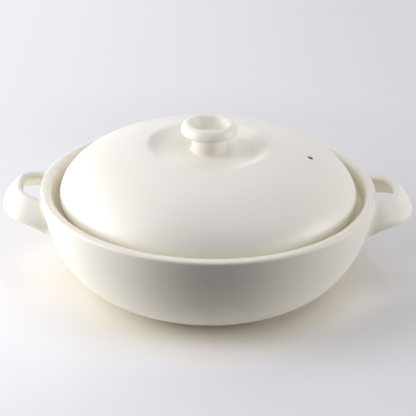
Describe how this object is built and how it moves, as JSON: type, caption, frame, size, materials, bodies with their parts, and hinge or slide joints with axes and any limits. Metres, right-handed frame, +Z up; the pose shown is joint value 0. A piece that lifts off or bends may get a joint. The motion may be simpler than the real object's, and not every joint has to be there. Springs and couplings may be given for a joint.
{
  "type": "covered casserole dish",
  "caption": "Round covered cooking pot with a domed lid that sits inside the rim, a hollow grip knob in a sunken dish, and a strap handle on each side.",
  "frame": {"origin": "on the table, under the middle of the bowl", "axes": "+X towards the right handle, +Z up"},
  "size_m": [0.3596, 0.2942, 0.1484],
  "materials": {
    "ivory_glaze": "ivory white satin glaze"
  },
  "bodies": {
    "pot": {"pot": "ivory_glaze", "right_handle": "ivory_glaze", "left_handle": "ivory_glaze"},
    "lid": {"lid": "ivory_glaze", "knob": "ivory_glaze"}
  },
  "joints": [
    {"name": "lid_lift", "type": "slide", "parent": "pot", "child": "lid", "axis": [0, 0, 1], "range_m": [0, 0.12]}
  ]
}
